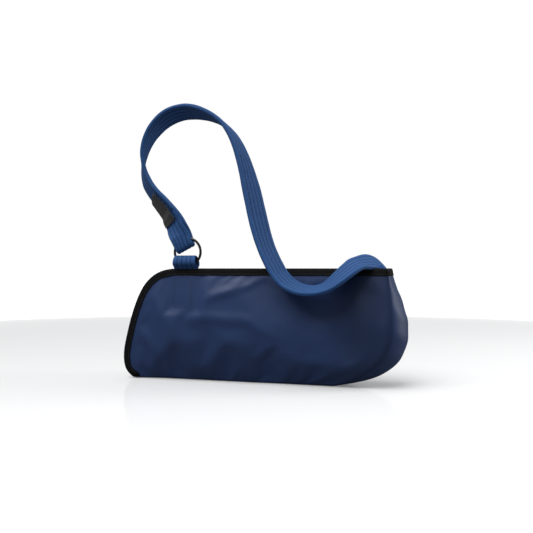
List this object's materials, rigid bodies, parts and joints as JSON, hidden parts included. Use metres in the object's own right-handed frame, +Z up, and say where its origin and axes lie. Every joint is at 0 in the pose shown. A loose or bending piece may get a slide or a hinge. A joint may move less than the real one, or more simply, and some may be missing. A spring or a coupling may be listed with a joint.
{
  "type": "arm sling",
  "caption": "Forearm pouch sling with foam-laminated walls, taped mouth, closed rounded elbow end and a padded shoulder strap through a ring, closed by a hook tab.",
  "frame": {"origin": "middle of the bottom of the bounding box; the pouch stands on its flat bottom at z = 0", "axes": "+X along the pouch from the open hand end to the closed elbow end, +Y from the outer front panel to the back panel, +Z up"},
  "size_m": [0.4342, 0.118, 0.4228],
  "materials": {
    "pouch_fabric": "smooth navy laminated knit with a slight sheen",
    "foam": "dark open-cell foam",
    "lining": "soft brushed dark lining",
    "binding_tape": "black woven tape",
    "strap_webbing": "mid-blue webbing with lengthwise ribs",
    "strap_padding": "strap padding",
    "loop_tape": "looped pile",
    "hook_tape": "dark grey hook tape",
    "ring_coating": "black coated steel wire",
    "thread": "navy polyester thread"
  },
  "bodies": {
    "pouch": {"front_panel_outer": "pouch_fabric", "front_panel_foam": "foam", "front_panel_lining": "lining", "bottom_gusset_outer": "pouch_fabric", "bottom_gusset_foam": "foam", "bottom_gusset_lining": "lining", "elbow_gusset_outer": "pouch_fabric", "elbow_gusset_foam": "foam", "elbow_gusset_lining": "lining", "front_binding": "binding_tape", "elbow_binding": "binding_tape", "bottom_binding": "binding_tape", "keeper_tails": "strap_webbing", "keeper_stitches": "thread", "keeper_loop": "strap_webbing", "strap_anchor_tail": "strap_webbing", "strap_anchor_bend": "strap_webbing", "anchor_stitches": "thread"},
    "back_wall": {"back_panel_outer": "pouch_fabric", "back_panel_foam": "foam", "back_panel_lining": "lining", "back_binding": "binding_tape"},
    "ring": {"ring": "ring_coating"},
    "strap": {"strap_core": "strap_padding", "strap_cover": "strap_webbing", "loop_patch": "loop_tape"},
    "free_end": {"strap_free_end": "strap_webbing", "hook_tab": "hook_tape", "hook_tab_stitches": "thread"}
  },
  "joints": [
    {"name": "strap_swing", "type": "hinge", "parent": "pouch", "child": "strap", "pos_m": [-0.11047, -0.01225, 0.181], "axis": [-0.9986, -0.0523, 0.0036], "range_deg": [0, 35]},
    {"name": "ring_turn", "type": "hinge", "parent": "pouch", "child": "ring", "pos_m": [-0.11047, -0.01225, 0.181], "axis": [-0.9986, -0.0523, 0.0036], "range_deg": [0, 35]},
    {"name": "tab_peel", "type": "hinge", "parent": "strap", "child": "free_end", "pos_m": [-0.11797, -0.01955, 0.2073], "axis": [0.891, 0, 0.454], "range_deg": [0, 100]},
    {"name": "mouth_open", "type": "hinge", "parent": "pouch", "child": "back_wall", "pos_m": [-0.00347, 0.04725, 0], "axis": [-1, 0, 0], "range_deg": [0, 12], "stiffness_Nm_per_rad": 0.9}
  ],
  "couplings": [
    {"joint": "ring_turn", "follows": "strap_swing", "ratio": 1}
  ]
}
